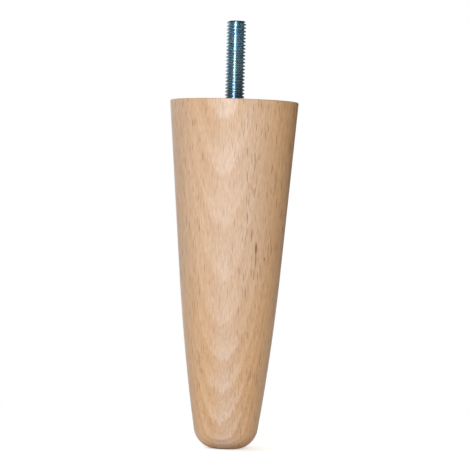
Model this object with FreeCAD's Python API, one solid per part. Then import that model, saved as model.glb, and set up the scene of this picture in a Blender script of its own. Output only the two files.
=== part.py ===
import FreeCAD, Part
import math
import os

# Tapered furniture leg turned from one piece of hardwood, with a double-ended screw in its top.
# Millimetres and degrees. The leg's axis is Z, and its foot stands on z = 0.

# Turned leg
LEG_HEIGHT = 142.2            # floor to the flat top
TOP_DIAMETER = 52.7           # widest place, just under the eased rim
RIM_EASE = 0.3                # chamfer that takes the sharpness off the top rim
TAPER_LENGTH = 69.5           # straight taper, measured down its slope from the rim
SIDE_FULLNESS = 2.36          # how far outside the foot's rounding the straight taper would pass
FOOT_RADIUS = 9.3             # rounding between the side and the base
BASE_FLAT_DIAMETER = 7.8      # flat spot that stands on the floor

# Double-ended screw: machine thread above the top, wood thread below it
STUD_DIAMETER = 7.9375        # over the crests of a 5/16 inch machine thread
STUD_LENGTH = 32.9            # stands out of the top
STUD_TIP_CHAMFER = 0.6
NECK_DIAMETER = 7.0           # plain blank between the two threads
NECK_LENGTH = 2.0             # sits in the mouth of the hole
WOOD_SCREW_DIAMETER = 5.8     # core that the wood thread is rolled on
WOOD_SCREW_LENGTH = 25.4      # below the neck, with its point
WOOD_SCREW_POINT = 6.0        # length of the tapered point

# Hole that the screw is driven into
MOUTH_CLEARANCE = 0.15        # between the stud's crests and the mouth's wall
PILOT_CLEARANCE = 0.05        # between the screw's core and the pilot hole's wall
PILOT_SPARE_DEPTH = 1.5       # drilled beyond the screw's point
DRILL_POINT_ANGLE = 118.0     # included angle of the drill
DRILL_RUN_OUT = 1.0           # how far the drill's body stands above the top face


def at(radius, height):
    """Point or step of a turned outline."""
    return FreeCAD.Vector(radius, 0, height)


def turned(edges):
    """Solid made by turning a closed outline once round the leg's axis."""
    face = Part.Face(Part.Wire(edges))
    return face.revolve(at(0, 0), FreeCAD.Vector(0, 0, 1), 360)


def turned_straight(points):
    """Solid turned from straight runs between points, closed along the axis."""
    return turned(Part.makePolygon(points + points[:1]).Edges)


def arc_about(centre, radius, start, end):
    """The shorter arc between two points on a circle."""
    middle = centre + (start + end - centre * 2).normalize() * radius
    return Part.Arc(start, middle, end).toShape()


def leg_side(rim):
    """Side from the rim down to the middle of the base, each stretch tangent to the one above it:
    a straight taper, a long full curve, the rounding of the foot and the base flat."""
    flat_edge = at(BASE_FLAT_DIAMETER / 2, 0)
    foot_centre = flat_edge + at(0, FOOT_RADIUS)

    # The straight taper leans so that, run on down, it would pass the foot's circle by the fullness.
    foot_to_rim = rim - foot_centre
    passing = math.asin((FOOT_RADIUS + SIDE_FULLNESS) / foot_to_rim.Length)
    lean = math.atan2(foot_to_rim.x, foot_to_rim.z) - passing
    outwards = at(math.cos(lean), -math.sin(lean))
    taper_end = rim - at(math.sin(lean), math.cos(lean)) * TAPER_LENGTH

    # The full curve touches the taper at its end and holds the foot's circle inside it.
    foot_to_taper = taper_end - foot_centre
    curve_radius = (foot_to_taper.Length ** 2 - FOOT_RADIUS ** 2) / (2 * SIDE_FULLNESS)
    curve_centre = taper_end - outwards * curve_radius
    foot_start = foot_centre + (foot_centre - curve_centre).normalize() * FOOT_RADIUS

    return [
        Part.makeLine(rim, taper_end),
        arc_about(curve_centre, curve_radius, taper_end, foot_start),
        arc_about(foot_centre, FOOT_RADIUS, foot_start, flat_edge),
        Part.makeLine(flat_edge, at(0, 0)),
    ]


def screw_hole():
    """Drilled space for the screw: a mouth for the neck, a pilot hole and the drill's cone."""
    mouth_radius = STUD_DIAMETER / 2 + MOUTH_CLEARANCE
    pilot_radius = WOOD_SCREW_DIAMETER / 2 + PILOT_CLEARANCE
    mouth_floor = LEG_HEIGHT - NECK_LENGTH
    pilot_end = mouth_floor - WOOD_SCREW_LENGTH - PILOT_SPARE_DEPTH
    cone_depth = pilot_radius / math.tan(math.radians(DRILL_POINT_ANGLE / 2))
    drill_top = LEG_HEIGHT + DRILL_RUN_OUT
    return turned_straight([
        at(0, pilot_end - cone_depth),
        at(pilot_radius, pilot_end),
        at(pilot_radius, mouth_floor),
        at(mouth_radius, mouth_floor),
        at(mouth_radius, drill_top),
        at(0, drill_top),
    ])


def leg_body():
    """The turned wood, bored for the screw."""
    top_radius = TOP_DIAMETER / 2
    top_centre = at(0, LEG_HEIGHT)
    rim_upper = at(top_radius - RIM_EASE, LEG_HEIGHT)
    rim_lower = at(top_radius, LEG_HEIGHT - RIM_EASE)
    blank = turned([
        Part.makeLine(top_centre, rim_upper),
        Part.makeLine(rim_upper, rim_lower),
        *leg_side(rim_lower),
        Part.makeLine(at(0, 0), top_centre),
    ])
    return blank.cut(screw_hole())


def hanger_bolt():
    """Double-ended screw, seated by the foot of its neck on the floor of the hole's mouth."""
    stud_radius = STUD_DIAMETER / 2
    neck_radius = NECK_DIAMETER / 2
    core_radius = WOOD_SCREW_DIAMETER / 2
    seat = LEG_HEIGHT - NECK_LENGTH
    tip = LEG_HEIGHT + STUD_LENGTH
    return turned_straight([
        at(0, seat - WOOD_SCREW_LENGTH),
        at(core_radius, seat - WOOD_SCREW_LENGTH + WOOD_SCREW_POINT),
        at(core_radius, seat),
        at(neck_radius, seat),
        at(neck_radius, LEG_HEIGHT),
        at(stud_radius, LEG_HEIGHT),
        at(stud_radius, tip - STUD_TIP_CHAMFER),
        at(stud_radius - STUD_TIP_CHAMFER, tip),
        at(0, tip),
    ])


os.makedirs("parts", exist_ok=True)
leg_body().exportStep("parts/leg_body.step")
hanger_bolt().exportStep("parts/hanger_bolt.step")
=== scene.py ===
import math

import bmesh
import bpy
from bpy.props import FloatProperty, FloatVectorProperty, PointerProperty
from bpy.types import NodeSocket, Operator, Panel, PropertyGroup
from mathutils import Matrix, Vector


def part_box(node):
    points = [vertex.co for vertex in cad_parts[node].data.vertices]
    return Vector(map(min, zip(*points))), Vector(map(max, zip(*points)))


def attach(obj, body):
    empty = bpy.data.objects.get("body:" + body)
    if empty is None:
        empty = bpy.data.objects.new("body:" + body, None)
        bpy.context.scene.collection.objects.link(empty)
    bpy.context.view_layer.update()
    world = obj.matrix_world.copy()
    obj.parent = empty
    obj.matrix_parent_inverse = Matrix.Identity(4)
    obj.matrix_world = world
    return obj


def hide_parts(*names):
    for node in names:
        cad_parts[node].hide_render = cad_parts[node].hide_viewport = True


bl_info = {
    "name": "Turned Furniture Leg",
    "version": (1, 0, 0),
    "blender": (4, 5, 0),
    "location": "3D View > Sidebar > Furniture Leg",
    "description": "Models a turned beech leg with its double-ended screw, on a white studio floor",
    "category": "Object",
}

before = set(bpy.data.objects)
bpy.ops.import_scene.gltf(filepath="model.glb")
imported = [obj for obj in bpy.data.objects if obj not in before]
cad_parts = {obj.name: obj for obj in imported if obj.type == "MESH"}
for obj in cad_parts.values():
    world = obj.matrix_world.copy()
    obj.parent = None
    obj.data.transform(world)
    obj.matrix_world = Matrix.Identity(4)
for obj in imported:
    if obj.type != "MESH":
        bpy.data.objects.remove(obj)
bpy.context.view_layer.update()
WOOD_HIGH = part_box("leg_body")[1]
SCREW_LOW, SCREW_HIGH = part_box("hanger_bolt")

MM = 0.001
WELD = 0.001 * MM                  # points nearer than this are one point
CORNER_NEAR = WELD * 10            # a drawn point this near a corner is that corner
CUT_NEAR = WELD / 10               # a cut takes points this near it as lying on it
AXIS = Vector((0, 0, 1))

# Faces round a turn, and the angle up to which an edge is shaded smooth
WOOD_STEPS = 192
WOOD_SMOOTH = math.radians(35)
SCREW_STEPS = 72
WOOD_THREAD_STEPS = 48
SCREW_SMOOTH = math.radians(40)

# Screw: how its threads are wound, and how its solids overlap before they are joined and cut
THREAD_LEAD_IN = 1.5               # turns wound below the low end of a thread
THREAD_SPARE_TURNS = 4             # turns wound beyond its length
CORNER_SHARE = 0.45                # of the narrower flat, taken by each rounded corner
NECK_TAIL_SHARE = 0.9              # of the wood thread's core, filled by the neck's tail
BLANK_CLEARANCE = 1.01             # blank's radius over the crests, which it leaves whole

# Beech figure in millimetres: round the pith, out from the pith and up the stem
ARC_RADIUS = 50.0                  # from the pith, where lengths round it are measured
WANDER_SIZE = (34, 34, 120)        # slow sway of the stem
WANDER_REACH = (1.8, 1.8, 0.0)
FEATHER_SIZE = (0.8, 0.8, 16)      # ragged edges of the rings
WEAKEST_RING = 0.6                 # share of summer wood that the poorest year leaves
DRIFT_SIZE = (7, 7, 60)            # broad drifts of tone
DRIFT_DEPTH = 0.4
STREAK_SIZE = (0.28, 0.28, 10)     # fine streaks along the grain
STREAK_TONE = {"X": (0.86, 1.13), "Y": (0.82, 1.16), "Z": (0.78, 1.20)}     # red, green and blue
BEECH_ROUGHNESS = (0.38, 0.31)     # in the dark streaks and in the pale ones

# Rings to the sides of the flat-sawn face, in millimetres round the pith from its middle
FACE_MIDDLE = -8.0
RING_SIDES = (3.0, 13.0)           # where the rings begin to even out, and where they do most
RING_EVENING = 0.55                # how far they even out
EVEN_TONE = 0.55                   # share of summer wood in the even tone

# Right and left of the face, in millimetres round the pith: start, end and share at the end. The painted
# shade is a warmer, darker tint that stands in for the light falling off towards the sides; the rays are the
# wood's own.
PAINTED_SHADE_UPPER = ((-2.0, 13.0, 1.0), (-8.0, -17.0, 0.45))
PAINTED_SHADE_LOWER = ((-7.0, 1.0, 0.8), (-8.0, -13.0, 0.4))
PAINTED_SHADE_HEIGHTS = (95.0, 25.0)       # the lower share comes in on the way down between these
RAY_SIDES = ((-9.0, 4.0, 1.0), (-10.0, -19.0, 0.8))
RAY_LEAST = 0.35                   # share of the rays on the face itself

# Rays: spacing, size as a share of the spacing, and strength
RAYS = (
    ((0.46, 9.0, 10.0), 0.26, 1.0),
    ((0.33, 6.0, 6.5), 0.29, 0.8),
)
RAY_EDGE = 0.7                     # share of a ray's size that is at full depth
RAY_RARITY = 2.2                   # how few of the rays are deep
RAY_DEPTH = 1.3                    # depth of the deepest, before it is held at 1

# Mineral streak, its thin tail and the dot beside it: middle and radii in millimetres, and strength
MINERAL_SPOTS = (
    ((10.3, -18.9, 82.3), (0.60, 4.0, 3.4), 1.0),
    ((10.3, -18.6, 77.5), (0.36, 4.0, 4.6), 0.7),
    ((13.8, -15.2, 78.0), (0.50, 4.0, 1.0), 0.7),
)

# Clouds in the zinc's film, and its roughness in the bright and the blue ones
FILM_SIZE = (2.5 * MM, 2.5 * MM, 20 / 3 * MM)
ZINC_ROUGHNESS = (0.20, 0.27)

# Studio in metres
LAMP_AIM = Vector((0, 0, 0.09))
SENSOR_WIDTH = 36                  # millimetres, as the camera takes it
CAMERA_REACH = 20
FLOOR_WIDTH = 6
SHADOW_FADE = (0.05, 0.25)         # from the foot, where the floor runs out into white
MIRROR_START = (0.25, 0.6)         # behind the leg, where the floor turns white in reflections
MIRROR_MIDDLE = -0.3               # sideways middle of that white
MIRROR_SIDES = (0.4, 0.15)         # from that middle, where the white begins and is full
WHITE_SLANT = 0.6                  # how far the room's white behind the leg reaches round its left
WHITE_FADE = (0.85, 1.1)           # how squarely behind a direction is, where white begins and is full


class WoodSizes(PropertyGroup):
    """Sizes of the turned wood that its box doesn't give."""

    rim_ease: FloatProperty(
        name="Rim ease", description="Chamfer that takes the sharpness off the top rim",
        default=0.3 * MM, unit="LENGTH", precision=5)
    arris: FloatProperty(
        name="Arris", description="Sanded softness of the rim's two edges",
        default=0.15 * MM, unit="LENGTH", precision=5)
    taper_length: FloatProperty(
        name="Taper length", description="Straight taper, measured down its slope from the rim",
        default=69.5 * MM, unit="LENGTH", precision=5)
    side_fullness: FloatProperty(
        name="Side fullness", description="How far outside the foot's rounding the straight taper would pass",
        default=2.36 * MM, unit="LENGTH", precision=5)
    foot_radius: FloatProperty(
        name="Foot radius", description="Rounding between the side and the base",
        default=9.3 * MM, unit="LENGTH", precision=5)
    base_flat: FloatProperty(
        name="Base flat", description="Diameter of the flat spot that stands on the floor",
        default=7.8 * MM, unit="LENGTH", precision=5)
    mouth_diameter: FloatProperty(
        name="Mouth diameter", description="Hole's wide mouth, which clears the machine thread",
        default=8.24 * MM, unit="LENGTH", precision=5)
    pilot_diameter: FloatProperty(
        name="Pilot diameter", description="Hole that the wood thread bites into",
        default=5.9 * MM, unit="LENGTH", precision=5)
    pilot_spare: FloatProperty(
        name="Pilot spare", description="Depth drilled beyond the screw's point",
        default=1.5 * MM, unit="LENGTH", precision=5)
    drill_angle: FloatProperty(
        name="Drill angle", description="Included angle of the drill's point",
        default=math.radians(118), unit="ROTATION")


class ScrewSizes(PropertyGroup):
    """Sizes of the double-ended screw that its box doesn't give."""

    pitch: FloatProperty(
        name="Machine pitch", description="Pitch of the machine thread, 18 to the inch",
        default=25.4 / 18 * MM, unit="LENGTH", precision=6)
    depth: FloatProperty(
        name="Machine depth", description="Depth of the machine thread",
        default=0.80 * MM, unit="LENGTH", precision=6)
    crest_flat: FloatProperty(
        name="Crest flat", description="Width of the machine thread's crests, before they are softened",
        default=0.41 * MM, unit="LENGTH", precision=6)
    root_flat: FloatProperty(
        name="Root flat", description="Width of the machine thread's roots, before they are softened",
        default=0.24 * MM, unit="LENGTH", precision=6)
    tip_chamfer: FloatProperty(
        name="Tip chamfer", description="Chamfer on the tip of the stud",
        default=0.6 * MM, unit="LENGTH", precision=5)
    neck_diameter: FloatProperty(
        name="Neck diameter", description="Plain blank between the two threads",
        default=7.0 * MM, unit="LENGTH", precision=5)
    neck_length: FloatProperty(
        name="Neck length", description="Depth of the hole's mouth that the neck stands in",
        default=2.0 * MM, unit="LENGTH", precision=5)
    wood_pitch: FloatProperty(
        name="Wood pitch", description="Pitch of the wood thread, 9 to the inch",
        default=25.4 / 9 * MM, unit="LENGTH", precision=6)
    wood_crest_flat: FloatProperty(
        name="Wood crest flat", description="Width of the wood thread's sharp crests",
        default=25.4 / 9 * 0.06 * MM, unit="LENGTH", precision=6)
    wood_root_flat: FloatProperty(
        name="Wood root flat", description="Width of the plain core between the wood thread's turns",
        default=25.4 / 9 * 0.5 * MM, unit="LENGTH", precision=6)
    wood_core: FloatProperty(
        name="Wood core", description="Core that the wood thread is rolled on",
        default=5.8 * MM, unit="LENGTH", precision=5)
    wood_point: FloatProperty(
        name="Wood point", description="Length of the tapered point",
        default=6.0 * MM, unit="LENGTH", precision=5)


class BeechLook(PropertyGroup):
    """Figure and colours of the flat-sawn beech, and the painted shade towards the sides of its face."""

    pith: FloatVectorProperty(
        name="Pith", description="Where the heart of the tree stood, beside the leg",
        default=(7.1 * MM, 40.4 * MM, 0.0), subtype="XYZ", unit="LENGTH", precision=5)
    ring_width: FloatProperty(
        name="Ring width", description="One year's growth",
        default=1.77 * MM, unit="LENGTH", precision=5)
    first_ring: FloatProperty(
        name="First ring", description="Distance from the pith to one ring's edge",
        default=65.3 * MM, unit="LENGTH", precision=5)
    early: FloatVectorProperty(
        name="Spring wood", description="Pale wood at the start of each ring",
        default=(0.640, 0.490, 0.388), subtype="COLOR", min=0.0, max=1.0)
    late: FloatVectorProperty(
        name="Summer wood", description="Darker wood at the end of each ring",
        default=(0.550, 0.373, 0.252), subtype="COLOR", min=0.0, max=1.0)
    # Painted shade: a warmer, darker tint towards the right and left of the face, where the light falls off
    painted_side_shade: FloatVectorProperty(
        name="Painted side shade", description="Tint of the wood away from the middle of the flat-sawn face",
        default=(1.0, 0.86, 0.63), subtype="COLOR", min=0.0, max=1.0)
    ray: FloatVectorProperty(
        name="Ray fleck", description="Short dark flecks along the grain",
        default=(0.21, 0.06, 0.01), subtype="COLOR", min=0.0, max=1.0)
    mineral: FloatVectorProperty(
        name="Mineral streak", description="The one dark streak on the face",
        default=(0.20, 0.085, 0.03), subtype="COLOR", min=0.0, max=1.0)
    end_grain: FloatVectorProperty(
        name="End grain", description="Tint of the wood where it is cut across",
        default=(0.78, 0.72, 0.64), subtype="COLOR", min=0.0, max=1.0)


class ZincLook(PropertyGroup):
    """Colours of the plated screw."""

    bright: FloatVectorProperty(
        name="Bright zinc", description="Main tone of the plating",
        default=(0.45, 0.65, 0.74), subtype="COLOR", min=0.0, max=1.0)
    blue: FloatVectorProperty(
        name="Blue zinc", description="Bluer tone of the passivated film",
        default=(0.32, 0.52, 0.69), subtype="COLOR", min=0.0, max=1.0)


class StudioLook(PropertyGroup):
    """Light, floor and camera of the white studio."""

    floor: FloatVectorProperty(
        name="Floor", description="Colour of the floor round the foot",
        default=(0.92, 0.92, 0.92), subtype="COLOR", min=0.0, max=1.0)
    key_power: FloatProperty(
        name="Key light", description="Tall soft box beside the camera, on its left",
        default=5.7, unit="POWER", min=0.0)
    thread_power: FloatProperty(
        name="Thread light", description="Soft box over the key light, seen only in reflections",
        default=10.0, unit="POWER", min=0.0)
    left_power: FloatProperty(
        name="Left light", description="Wide soft light on the left",
        default=2.9, unit="POWER", min=0.0)
    fill_power: FloatProperty(
        name="Fill light", description="Soft warm light beside the camera, on its right",
        default=8.0, unit="POWER", min=0.0)
    fill_colour: FloatVectorProperty(
        name="Fill colour", description="Colour of the fill light",
        default=(1.0, 0.93, 0.82), subtype="COLOR", min=0.0, max=1.0)
    top_power: FloatProperty(
        name="Top light", description="Wide soft light over the leg, to its left",
        default=5.0, unit="POWER", min=0.0)
    back_power: FloatProperty(
        name="Back light", description="Soft light behind the leg",
        default=7.5, unit="POWER", min=0.0)
    room: FloatProperty(
        name="Room light", description="Even light from the white room, where 1 is full white",
        default=0.05, subtype="FACTOR", min=0.0, max=1.0)
    glow: FloatProperty(
        name="Floor glow", description="Lift that brings the lit floor up to white to look at",
        default=0.5, subtype="FACTOR", min=0.0, max=1.0)
    dim: FloatProperty(
        name="Dim side", description="How bright the studio before the leg is in reflections",
        default=0.035, subtype="FACTOR", min=0.0, max=1.0)
    lens: FloatProperty(
        name="Lens", description="Focal length of the camera",
        default=0.209, unit="CAMERA")
    distance: FloatProperty(
        name="Distance", description="From the camera to the leg's axis",
        default=1.118, unit="LENGTH")
    height: FloatProperty(
        name="Camera height", description="Camera above the floor",
        default=87.5 * MM, unit="LENGTH", precision=5)
    sideways: FloatProperty(
        name="Camera sideways", description="Camera to the right of the leg's axis",
        default=1.7 * MM, unit="LENGTH", precision=5)
    roll: FloatProperty(
        name="Camera roll", description="Turn of the camera about its line of sight",
        default=math.radians(1.535), unit="ROTATION")


def at(radius, height):
    """Point of a turned outline, which is drawn in the plane of X and Z."""
    return Vector((radius, 0, height))


class Outline:
    """Outline of a turned piece, drawn from point to point in edit mode."""

    def __init__(self, name, start):
        bpy.ops.object.select_all(action="DESELECT")
        bpy.ops.mesh.primitive_plane_add(size=MM)
        self.piece = bpy.context.object
        self.piece.name = self.piece.data.name = name
        bpy.ops.object.mode_set(mode="EDIT")
        bpy.ops.mesh.merge(type="CENTER")
        bpy.ops.transform.translate(value=start)
        self.point = start

    def line_to(self, target, cuts=0):
        """Straight run to a point, cut into even lengths."""
        step = (target - self.point) / (cuts + 1)
        for _ in range(cuts + 1):
            bpy.ops.mesh.extrude_vertices_move(TRANSFORM_OT_translate={"value": step})
        self.point = target

    def arc_to(self, target, centre, steps):
        """Arc about a centre to a point at the same distance from it."""
        first, last = self.point - centre, target - centre
        angle = math.atan2(last.z, last.x) - math.atan2(first.z, first.x)
        bpy.ops.mesh.spin(steps=steps, angle=angle, center=centre, axis=(0, 1, 0))
        self.point = target

    def soften(self, corners, size, segments):
        """Round the outline's corners that lie at the given points."""
        drawn = bmesh.from_edit_mesh(self.piece.data)
        for vertex in drawn.verts:
            vertex.select_set(any((vertex.co - corner).length < CORNER_NEAR for corner in corners))
        drawn.select_flush_mode()
        bmesh.update_edit_mesh(self.piece.data)
        bpy.ops.mesh.bevel(affect="VERTICES", offset=size, segments=segments)

    def turned(self, steps):
        """Turn the outline once round the axis and close it as a solid."""
        bpy.ops.mesh.select_all(action="SELECT")
        bpy.ops.mesh.spin(steps=steps, angle=math.tau, axis=AXIS)
        close_seams()
        bpy.ops.object.mode_set(mode="OBJECT")
        return self.piece


def close_seams():
    """Merge the points that lie together, and turn every face outwards."""
    bpy.ops.mesh.select_all(action="SELECT")
    bpy.ops.mesh.remove_doubles(threshold=WELD)
    bpy.ops.mesh.select_all(action="SELECT")
    bpy.ops.mesh.normals_make_consistent(inside=False)


def combine(piece, tool, operation):
    """Join a piece with another solid, or cut it to that solid, which is used up."""
    modifier = piece.modifiers.new("Combine", "BOOLEAN")
    modifier.operation = operation
    modifier.solver = "EXACT"
    modifier.object = tool
    bpy.context.view_layer.objects.active = piece
    bpy.ops.object.modifier_apply(modifier=modifier.name)
    bpy.data.objects.remove(tool)


def smooth(piece, angle):
    """Shade a piece smooth, apart from edges sharper than an angle."""
    bpy.ops.object.select_all(action="DESELECT")
    piece.select_set(True)
    bpy.context.view_layer.objects.active = piece
    bpy.ops.object.shade_smooth_by_angle(angle=angle)


def check_closed(piece):
    """Stop if a piece isn't a closed solid."""
    solid = bmesh.new()
    solid.from_mesh(piece.data)
    loose = sum(not edge.is_manifold for edge in solid.edges)
    solid.free()
    if loose:
        raise RuntimeError(f"{piece.name} has {loose} edges that don't join two faces")


def finish_piece(piece, node, material):
    """Give a closed piece its finish, and let it stand for its node."""
    check_closed(piece)
    piece.data.materials.clear()
    piece.data.materials.append(material)
    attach(piece, "root")
    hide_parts(node)


class Bench:
    """Node tree that is filled by plain calls: a value that is a socket is linked."""

    def __init__(self, owner):
        owner.use_nodes = True
        self.tree = owner.node_tree
        self.tree.nodes.clear()

    def add(self, kind, inputs=(), **settings):
        """New node, with its settings made and its inputs fed by name or number."""
        node = self.tree.nodes.new("ShaderNode" + kind)
        for setting, value in settings.items():
            setattr(node, setting, value)
        for name, value in dict(inputs).items():
            if isinstance(value, NodeSocket):
                self.tree.links.new(value, node.inputs[name])
            else:
                node.inputs[name].default_value = value
        return node

    def math(self, operation, *values):
        """Result of one sum."""
        return self.add("Math", dict(enumerate(values)), operation=operation).outputs[0]

    def vector(self, operation, *values):
        """Result of one sum on vectors."""
        return self.add("VectorMath", dict(enumerate(values)), operation=operation).outputs[0]

    def length(self, vector):
        """Length of a vector."""
        return self.add("VectorMath", {0: vector}, operation="LENGTH").outputs["Value"]

    def parts(self, vector):
        """The three parts of a vector."""
        return self.add("SeparateXYZ", {0: vector}).outputs

    def fade(self, value, start, end, low=0.0, high=1.0):
        """Soft step of a value between two ends."""
        inputs = {"Value": value, "From Min": start, "From Max": end, "To Min": low, "To Max": high}
        return self.add("MapRange", inputs, interpolation_type="SMOOTHSTEP").outputs["Result"]

    def between(self, factor, first, second):
        """Number between two numbers."""
        return self.add("Mix", {0: factor, 2: first, 3: second}, data_type="FLOAT").outputs[0]

    def mix(self, factor, first, second, blend="MIX"):
        """Colour between two colours."""
        node = self.add("Mix", {0: factor, 6: first, 7: second}, data_type="RGBA", blend_type=blend)
        return node.outputs[2]

    def scaled(self, place, size):
        """Place measured in steps of a size along each axis."""
        return self.vector("MULTIPLY", place, [1 / step for step in size])

    def noise(self, place, size, detail=2.0, roughness=0.5, output="Fac"):
        """Cloudy noise with clouds of a size."""
        inputs = {"Vector": self.scaled(place, size), "Scale": 1.0, "Detail": detail, "Roughness": roughness}
        return self.add("TexNoise", inputs, noise_dimensions="3D").outputs[output]

    def sight(self):
        """Whether a ray comes from the camera, and whether it comes from a mirror or through glass."""
        path = self.add("LightPath").outputs
        mirrored = self.math("MAXIMUM", path["Is Glossy Ray"], path["Is Transmission Ray"])
        return path["Is Camera Ray"], mirrored


def opaque(colour):
    """Colour with full alpha, as a colour socket takes it."""
    return (*colour, 1.0)


class Stem:
    """Place in the tree's own measures, in millimetres: round the pith, out from it and up the stem."""

    def __init__(self, bench, place, look):
        grain = bench.add("Mapping", {
            "Vector": place,
            "Location": [-offset / MM for offset in look.pith],
            "Scale": (1 / MM, 1 / MM, 1 / MM)}).outputs[0]
        sway = bench.noise(grain, WANDER_SIZE, detail=1.0, output="Color")
        sway = bench.vector("SUBTRACT", sway, (0.5, 0.5, 0.5))
        grain = bench.vector("ADD", grain, bench.vector("MULTIPLY", sway, WANDER_REACH))
        across = bench.parts(grain)
        turn = bench.math("ARCTAN2", across["X"], bench.math("MULTIPLY", across["Y"], -1.0))
        self.round = bench.math("MULTIPLY", turn, ARC_RADIUS)
        self.out = bench.length(bench.vector("MULTIPLY", grain, (1, 1, 0)))
        self.up = across["Z"]
        self.place = bench.add("CombineXYZ", {"X": self.round, "Y": self.out, "Z": self.up}).outputs[0]


def growth_rings(bench, stem, cross_cut, look):
    """Colour of the rings: pale at their start and darker to their end, with feathered edges."""
    feather = bench.noise(stem.place, FEATHER_SIZE, detail=3.0, roughness=0.6)
    feathered = bench.math("ADD", bench.math("SUBTRACT", feather, 0.5), stem.out)
    since_first = bench.math("SUBTRACT", feathered, look.first_ring / MM)
    years = bench.math("DIVIDE", since_first, look.ring_width / MM)
    season = bench.math("FRACT", years)
    coming = bench.fade(season, 0.0, 0.75)
    going = bench.fade(season, 1.0, 0.9)
    summer = bench.math("MULTIPLY", coming, going)

    # Some years leave a weaker ring than others.
    year = bench.math("FLOOR", years)
    vigour = bench.add("TexWhiteNoise", {"W": year}, noise_dimensions="1D").outputs["Value"]
    summer = bench.math("MULTIPLY", summer, bench.fade(vigour, 0.0, 1.0, WEAKEST_RING, 1.0))

    # Rings show less towards the sides of the face, but clearly where the wood is cut across.
    off_face = bench.math("ABSOLUTE", bench.math("SUBTRACT", stem.round, FACE_MIDDLE))
    along = bench.math("SUBTRACT", 1.0, cross_cut)
    even = bench.math("MULTIPLY", bench.fade(off_face, *RING_SIDES, 0.0, RING_EVENING), along)
    summer = bench.between(even, summer, EVEN_TONE)
    colour = bench.mix(summer, opaque(look.early), opaque(look.late))

    drift = bench.noise(stem.place, DRIFT_SIZE)
    return bench.mix(bench.fade(drift, 0.35, 0.7, 0.0, DRIFT_DEPTH), colour, opaque(look.late))


def beside_face(bench, stem, sides, least=0.0):
    """Share that grows from the middle of the face to its right and its left."""
    right, left = [bench.fade(stem.round, start, end, least, most) for start, end, most in sides]
    return bench.math("MAXIMUM", right, left)


def painted_shade_share(bench, stem):
    """How much painted shade the wood takes: an amber tint, more to the right and left of the face and
    further in lower down, where the light falls off.
    """
    upper = beside_face(bench, stem, PAINTED_SHADE_UPPER)
    lower = beside_face(bench, stem, PAINTED_SHADE_LOWER)
    lower = bench.math("MULTIPLY", lower, bench.fade(stem.up, *PAINTED_SHADE_HEIGHTS))
    return bench.math("MINIMUM", 1.0, bench.math("ADD", upper, lower))


def ray_flecks(bench, stem):
    """Rays: thin sheets that stand out from the pith, seen as spindles on the face and flakes on the side."""
    flecks = 0.0
    for spacing, size, strength in RAYS:
        cells = bench.add(
            "TexVoronoi", {"Vector": bench.scaled(stem.place, spacing), "Scale": 1.0},
            voronoi_dimensions="3D", feature="F1").outputs
        chance = bench.add("SeparateColor", {0: cells["Color"]}).outputs[0]
        depth = bench.math("MULTIPLY", bench.math("POWER", chance, RAY_RARITY), RAY_DEPTH)
        depth = bench.math("MULTIPLY", bench.math("MINIMUM", 1.0, depth), strength)
        shape = bench.fade(cells["Distance"], size, size * RAY_EDGE)
        flecks = bench.math("MAXIMUM", flecks, bench.math("MULTIPLY", shape, depth))
    return bench.math("MULTIPLY", flecks, beside_face(bench, stem, RAY_SIDES, RAY_LEAST))


def mineral_streak(bench, place, colour, look):
    """Colour with the one dark streak, its tail and the dot beside it."""
    for middle, radii, strength in MINERAL_SPOTS:
        near = bench.add("Mapping", {
            "Vector": place,
            "Location": [-centre / radius for centre, radius in zip(middle, radii)],
            "Scale": [1 / (radius * MM) for radius in radii]}).outputs[0]
        stain = bench.fade(bench.length(near), 1.0, 0.3, 0.0, strength)
        colour = bench.mix(stain, colour, opaque(look.mineral))
    return colour


def beech(look):
    """Satin beech: rings about the pith, fine streaks and ray flecks, all running through the solid."""
    material = bpy.data.materials.new("satin_beech")
    bench = Bench(material)
    place = bench.add("TexCoord").outputs
    stem = Stem(bench, place["Object"], look)
    facing = bench.math("ABSOLUTE", bench.parts(place["Normal"])["Z"])
    cross_cut = bench.fade(facing, 0.6, 1.0)

    colour = growth_rings(bench, stem, cross_cut, look)
    # Painted shade: the right and left of the face are tinted warmer and darker.
    colour = bench.mix(painted_shade_share(bench, stem), colour, opaque(look.painted_side_shade), blend="MULTIPLY")

    streak = bench.noise(stem.place, STREAK_SIZE, detail=4.0, roughness=0.65)
    tone = bench.add("CombineXYZ", {
        channel: bench.fade(streak, 0.25, 0.75, *ends) for channel, ends in STREAK_TONE.items()}).outputs[0]
    colour = bench.mix(1.0, colour, tone, blend="MULTIPLY")

    flecks = ray_flecks(bench, stem)
    colour = bench.mix(flecks, colour, opaque(look.ray))
    colour = mineral_streak(bench, place["Object"], colour, look)

    # Cut across the grain the wood drinks more and shows darker.
    colour = bench.mix(cross_cut, colour, opaque(look.end_grain), blend="MULTIPLY")

    height = bench.math("SUBTRACT", streak, flecks)
    bump = bench.add("Bump", {"Height": height, "Strength": 0.25, "Distance": 0.03 * MM}).outputs[0]
    shader = bench.add("BsdfPrincipled", {
        "Base Color": colour, "Roughness": bench.fade(streak, 0.2, 0.8, *BEECH_ROUGHNESS), "Normal": bump})
    bench.add("OutputMaterial", {"Surface": shader.outputs[0]})
    return material


def zinc(look):
    """Blue-white zinc plate: bright metal under a thin uneven film."""
    material = bpy.data.materials.new("blue_zinc_plate")
    bench = Bench(material)
    film = bench.noise(bench.add("TexCoord").outputs["Object"], FILM_SIZE, detail=3.0)
    shader = bench.add("BsdfPrincipled", {
        "Base Color": bench.mix(bench.fade(film, 0.35, 0.65), opaque(look.bright), opaque(look.blue)),
        "Metallic": 1.0, "Roughness": bench.fade(film, 0.3, 0.7, *ZINC_ROUGHNESS)})
    bench.add("OutputMaterial", {"Surface": shader.outputs[0]})
    return material


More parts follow.
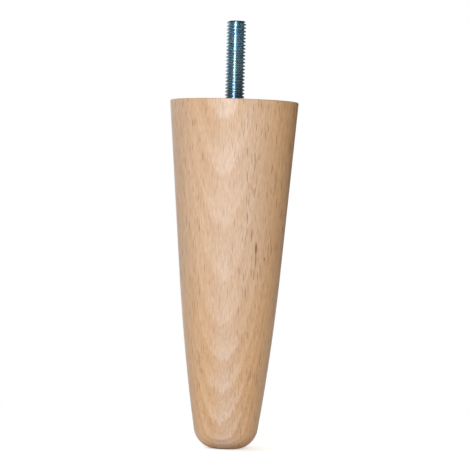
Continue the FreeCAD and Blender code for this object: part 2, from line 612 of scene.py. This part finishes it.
def draw_leg_side(outline, sizes):
    """Side of the leg from the rim to the middle of the base: straight taper, full curve, foot and flat."""
    rim = outline.point
    flat_edge = at(sizes.base_flat / 2, 0)
    foot_centre = flat_edge + at(0, sizes.foot_radius)

    # The straight taper leans so that, run on down, it would pass the foot's circle by the fullness.
    foot_to_rim = rim - foot_centre
    passing = math.asin((sizes.foot_radius + sizes.side_fullness) / foot_to_rim.length)
    lean = math.atan2(foot_to_rim.x, foot_to_rim.z) - passing
    outwards = at(math.cos(lean), -math.sin(lean))
    taper_end = rim - at(math.sin(lean), math.cos(lean)) * sizes.taper_length

    # The full curve touches the taper at its end and holds the foot's circle inside it.
    foot_to_taper = taper_end - foot_centre
    curve_radius = (foot_to_taper.length_squared - sizes.foot_radius ** 2) / (2 * sizes.side_fullness)
    curve_centre = taper_end - outwards * curve_radius
    foot_start = foot_centre + (foot_centre - curve_centre).normalized() * sizes.foot_radius

    outline.line_to(taper_end, cuts=17)
    outline.arc_to(foot_start, curve_centre, steps=18)
    outline.arc_to(flat_edge, foot_centre, steps=20)
    outline.line_to(at(0, 0), cuts=2)


class LEG_OT_turn_wood(Operator):
    """Turn the leg from one piece of beech, and bore it for the screw"""

    bl_idname = "leg.turn_wood"
    bl_label = "Turn the Wood"
    bl_options = {"REGISTER", "UNDO"}

    def execute(self, context):
        sizes = context.scene.leg_wood
        screw = context.scene.leg_screw
        top = WOOD_HIGH.z
        top_radius = min(WOOD_HIGH.x, WOOD_HIGH.y)
        mouth_radius = sizes.mouth_diameter / 2
        pilot_radius = sizes.pilot_diameter / 2
        mouth_floor = top - screw.neck_length
        pilot_end = SCREW_LOW.z - sizes.pilot_spare
        drill_tip = pilot_end - pilot_radius / math.tan(sizes.drill_angle / 2)
        rim_upper = at(top_radius - sizes.rim_ease, top)
        rim_lower = at(top_radius, top - sizes.rim_ease)

        outline = Outline("turned_leg", at(0, drill_tip))
        outline.line_to(at(pilot_radius, pilot_end))
        outline.line_to(at(pilot_radius, mouth_floor))
        outline.line_to(at(mouth_radius, mouth_floor))
        outline.line_to(at(mouth_radius, top))
        outline.line_to(rim_upper, cuts=5)
        outline.line_to(rim_lower)
        draw_leg_side(outline, sizes)
        outline.soften([rim_upper, rim_lower], sizes.arris, segments=3)
        leg = outline.turned(WOOD_STEPS)
        smooth(leg, WOOD_SMOOTH)
        finish_piece(leg, "leg_body", beech(context.scene.leg_beech))
        return {"FINISHED"}


def wound_thread(name, pitch, radii, flats, ends, steps):
    """Threaded rod between two heights: one tooth, wound up a helix and cut off square at both ends."""
    root_radius, crest_radius = radii
    root_flat, crest_flat = flats
    low, high = ends
    flank = (pitch - root_flat - crest_flat) / 2
    start = low - THREAD_LEAD_IN * pitch
    crest_start = start + root_flat / 2 + flank
    corners = [
        at(root_radius, start + root_flat / 2),
        at(crest_radius, crest_start),
        at(crest_radius, crest_start + crest_flat),
        at(root_radius, start + pitch - root_flat / 2),
    ]
    outline = Outline(name, at(root_radius, start))
    for corner in corners:
        outline.line_to(corner)
    outline.line_to(at(root_radius, start + pitch))
    outline.soften(corners, min(root_flat, crest_flat) * CORNER_SHARE, segments=3)
    bpy.ops.object.mode_set(mode="OBJECT")

    rod = outline.piece
    winding = rod.modifiers.new("Winding", "SCREW")
    winding.axis = "Z"
    winding.angle = math.tau
    winding.screw_offset = pitch
    winding.iterations = math.ceil((high - low) / pitch) + THREAD_SPARE_TURNS
    winding.steps = winding.render_steps = steps
    bpy.ops.object.modifier_apply(modifier=winding.name)

    bpy.ops.object.mode_set(mode="EDIT")
    close_seams()
    for height, outside in ((low, -AXIS), (high, AXIS)):
        bpy.ops.mesh.select_all(action="SELECT")
        bpy.ops.mesh.bisect(
            plane_co=(0, 0, height), plane_no=outside, use_fill=True, clear_outer=True, threshold=CUT_NEAR)
    close_seams()
    bpy.ops.object.mode_set(mode="OBJECT")
    return rod


class LEG_OT_roll_screw(Operator):
    """Roll both threads of the screw on its blank, with its chamfered tip and its point"""

    bl_idname = "leg.roll_screw"
    bl_label = "Roll the Screw"
    bl_options = {"REGISTER", "UNDO"}

    def execute(self, context):
        sizes = context.scene.leg_screw
        top = WOOD_HIGH.z
        seat = top - sizes.neck_length
        crest = SCREW_HIGH.x
        neck = sizes.neck_diameter / 2
        core = sizes.wood_core / 2
        tip = SCREW_HIGH.z
        point = SCREW_LOW.z

        # Each thread runs past its end of the screw, and the blank cuts it back.
        screw = wound_thread(
            "hanger_screw", sizes.pitch, radii=(crest - sizes.depth, crest),
            flats=(sizes.root_flat, sizes.crest_flat),
            ends=(top - sizes.neck_length / 2, tip + sizes.pitch), steps=SCREW_STEPS)
        wood_thread = wound_thread(
            "wood_thread", sizes.wood_pitch, radii=(core, crest),
            flats=(sizes.wood_root_flat, sizes.wood_crest_flat),
            ends=(point - sizes.pitch, seat), steps=WOOD_THREAD_STEPS)

        tail = core * NECK_TAIL_SHARE
        outline = Outline("neck", at(0, seat - sizes.neck_length))
        outline.line_to(at(tail, seat - sizes.neck_length))
        outline.line_to(at(tail, seat))
        outline.line_to(at(neck, seat))
        outline.line_to(at(neck, top))
        outline.line_to(at(0, top))
        combine(screw, outline.turned(SCREW_STEPS), "UNION")
        combine(screw, wood_thread, "UNION")

        blank = crest * BLANK_CLEARANCE
        point_slope = sizes.wood_point / core
        outline = Outline("blank", at(0, point))
        outline.line_to(at(blank, point + point_slope * crest))
        outline.line_to(at(blank, tip - sizes.tip_chamfer))
        outline.line_to(at(crest - sizes.tip_chamfer, tip))
        outline.line_to(at(0, tip))
        combine(screw, outline.turned(SCREW_STEPS), "INTERSECT")

        smooth(screw, SCREW_SMOOTH)
        finish_piece(screw, "hanger_bolt", zinc(context.scene.leg_zinc))
        return {"FINISHED"}


def place_camera(look):
    """Camera that sees the leg as the photograph does."""
    camera = bpy.data.objects.new("camera", bpy.data.cameras.new("camera"))
    bpy.context.scene.collection.objects.link(camera)
    camera.data.lens = look.lens / MM
    camera.data.sensor_width = SENSOR_WIDTH
    camera.data.clip_end = CAMERA_REACH
    level = Matrix.Rotation(math.radians(90), 4, "X") @ Matrix.Rotation(look.roll, 4, "Z")
    camera.matrix_world = Matrix.Translation((look.sideways, -look.distance, look.height)) @ level
    bpy.context.scene.camera = camera


def white_room(look):
    """World that is white to look at, and in reflections white behind the leg and dim before it."""
    world = bpy.data.worlds.new("white_room")
    bench = Bench(world)
    looking, mirrored = bench.sight()
    towards = bench.parts(bench.add("TexCoord").outputs["Generated"])
    behind = bench.math("MULTIPLY_ADD", towards["X"], -WHITE_SLANT, towards["Y"])
    reflection = bench.fade(behind, *WHITE_FADE, look.dim, 1.0)
    strength = bench.between(mirrored, look.room, reflection)
    strength = bench.math("MAXIMUM", strength, looking)
    light = bench.add("Background", {"Color": (1, 1, 1, 1), "Strength": strength})
    bench.add("OutputWorld", {"Surface": light.outputs[0]})
    bpy.context.scene.world = world


def floor_finish(look):
    """Matt floor that holds a shadow, white further off, and white behind the leg in reflections."""
    material = bpy.data.materials.new("pale_floor")
    bench = Bench(material)
    looking, mirrored = bench.sight()
    place = bench.add("TexCoord").outputs["Object"]
    spot = bench.parts(place)
    outskirts = bench.math("MULTIPLY", looking, bench.fade(bench.length(place), *SHADOW_FADE))
    aside = bench.math("ABSOLUTE", bench.math("SUBTRACT", spot["X"], MIRROR_MIDDLE))
    behind = bench.math("MULTIPLY", bench.fade(spot["Y"], *MIRROR_START), bench.fade(aside, *MIRROR_SIDES))
    white = bench.math("MAXIMUM", outskirts, bench.math("MULTIPLY", mirrored, behind))

    matt = bench.add("BsdfDiffuse", {"Color": opaque(look.floor)}).outputs[0]
    lift = bench.math("MULTIPLY", looking, look.glow)
    lift = bench.add("Emission", {"Color": (1, 1, 1, 1), "Strength": lift}).outputs[0]
    near = bench.add("AddShader", {0: matt, 1: lift}).outputs[0]
    far = bench.add("Emission", {"Color": (1, 1, 1, 1), "Strength": 1.0}).outputs[0]
    blend = bench.add("MixShader", {0: white, 1: near, 2: far})
    bench.add("OutputMaterial", {"Surface": blend.outputs[0]})
    return material


def lay_floor(look):
    """Pale floor that holds the leg's shadow and runs out into white."""
    bpy.ops.object.select_all(action="DESELECT")
    bpy.ops.mesh.primitive_plane_add(size=FLOOR_WIDTH)
    floor = bpy.context.object
    floor.name = "floor"
    floor.data.materials.append(floor_finish(look))


def hang_lamp(name, power, size, place, in_mirrors=True, on_matt=True):
    """Soft box of a width and height, turned towards the leg."""
    lamp = bpy.data.lights.new(name, "AREA")
    lamp.shape = "RECTANGLE"
    lamp.size, lamp.size_y = size
    lamp.energy = power
    holder = bpy.data.objects.new(name, lamp)
    bpy.context.scene.collection.objects.link(holder)
    holder.location = place
    holder.rotation_euler = (LAMP_AIM - Vector(place)).to_track_quat("-Z", "Y").to_euler()
    holder.visible_camera = False
    holder.visible_glossy = in_mirrors
    holder.visible_diffuse = on_matt
    return lamp


def hang_lamps(look):
    """Soft boxes round the leg: only the key and the one over it show in reflections."""
    hang_lamp("key_light", look.key_power, size=(0.30, 0.8), place=(-0.28, -1.22, 0.37))
    hang_lamp("thread_light", look.thread_power, size=(0.30, 0.8), place=(-0.27, -1.10, 1.05), on_matt=False)
    hang_lamp("left_light", look.left_power, size=(0.7, 0.9), place=(-1.16, -0.31, 0.45), in_mirrors=False)
    fill = hang_lamp(
        "fill_light", look.fill_power, size=(0.5, 0.8), place=(0.22, -1.17, 0.45), in_mirrors=False)
    fill.color = look.fill_colour
    hang_lamp("top_light", look.top_power, size=(1.2, 1.2), place=(-0.4, 0, 1.15), in_mirrors=False)
    hang_lamp("back_light", look.back_power, size=(0.8, 0.9), place=(-0.15, 1.2, 0.5), in_mirrors=False)


class LEG_OT_set_studio(Operator):
    """Set the white studio: camera, floor, room light and soft boxes"""

    bl_idname = "leg.set_studio"
    bl_label = "Set the Studio"
    bl_options = {"REGISTER", "UNDO"}

    def execute(self, context):
        look = context.scene.leg_studio
        context.scene.view_settings.view_transform = "Standard"
        place_camera(look)
        white_room(look)
        lay_floor(look)
        hang_lamps(look)
        return {"FINISHED"}


class VIEW3D_PT_furniture_leg(Panel):
    """Steps and sizes of the furniture leg"""

    bl_label = "Furniture Leg"
    bl_space_type = "VIEW_3D"
    bl_region_type = "UI"
    bl_category = "Furniture Leg"

    def draw(self, context):
        for step, groups in PANEL_STEPS:
            box = self.layout.box()
            box.operator(step.bl_idname)
            for name in groups:
                group = getattr(context.scene, name)
                for setting in group.__annotations__:
                    box.prop(group, setting)


SETTINGS = {
    "leg_wood": WoodSizes,
    "leg_screw": ScrewSizes,
    "leg_beech": BeechLook,
    "leg_zinc": ZincLook,
    "leg_studio": StudioLook,
}
PANEL_STEPS = (
    (LEG_OT_turn_wood, ("leg_wood", "leg_beech")),
    (LEG_OT_roll_screw, ("leg_screw", "leg_zinc")),
    (LEG_OT_set_studio, ("leg_studio",)),
)
CLASSES = (*SETTINGS.values(), *(step for step, _ in PANEL_STEPS), VIEW3D_PT_furniture_leg)


def register():
    """Add the settings, steps and panel to Blender."""
    for cls in CLASSES:
        bpy.utils.register_class(cls)
    for name, group in SETTINGS.items():
        setattr(bpy.types.Scene, name, PointerProperty(type=group))


def unregister():
    """Take the settings, steps and panel out of Blender again."""
    for name in SETTINGS:
        delattr(bpy.types.Scene, name)
    for cls in reversed(CLASSES):
        bpy.utils.unregister_class(cls)


def main():
    """Build the leg and its studio."""
    register()
    bpy.ops.leg.turn_wood()
    bpy.ops.leg.roll_screw()
    bpy.ops.leg.set_studio()


if __name__ == "__main__":
    main()
